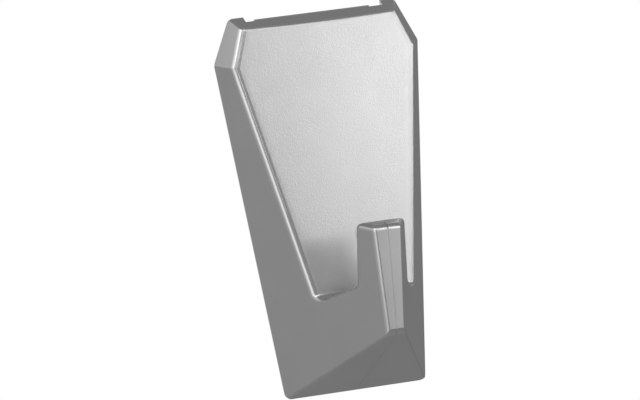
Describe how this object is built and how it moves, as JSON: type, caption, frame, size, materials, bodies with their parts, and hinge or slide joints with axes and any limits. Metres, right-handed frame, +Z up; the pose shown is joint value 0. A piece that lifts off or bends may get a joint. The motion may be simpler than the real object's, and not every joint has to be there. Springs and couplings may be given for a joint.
{
  "type": "adhesive wall hook",
  "caption": "Faceted silver wall hook with a grained front panel and one upright finger, on a base plate held by a stretch-release adhesive strip.",
  "frame": {"origin": "middle of the strip's sticky area, on the wall", "axes": "+Z up the wall, -Y out of the wall towards the viewer, +X to the viewer's right"},
  "size_m": [0.0478, 0.0194, 0.076],
  "materials": {
    "cover": "satin metallic silver, fine spark-eroded grain on the front panel",
    "base_plate": "plain moulded, silver grey",
    "foam": "matte elastic foam",
    "adhesive": "tacky, slightly glossy",
    "film": "smooth film"
  },
  "bodies": {
    "base": {"base_plate": "base_plate", "strip_core": "foam", "plate_adhesive": "adhesive", "wall_adhesive": "adhesive", "tab_film_front": "film", "tab_film_back": "film"},
    "cover": {"cover": "cover"}
  },
  "joints": [
    {"name": "cover_lift", "type": "slide", "parent": "base", "child": "cover", "axis": [0, 0, 1], "range_m": [0, 0.009]}
  ]
}
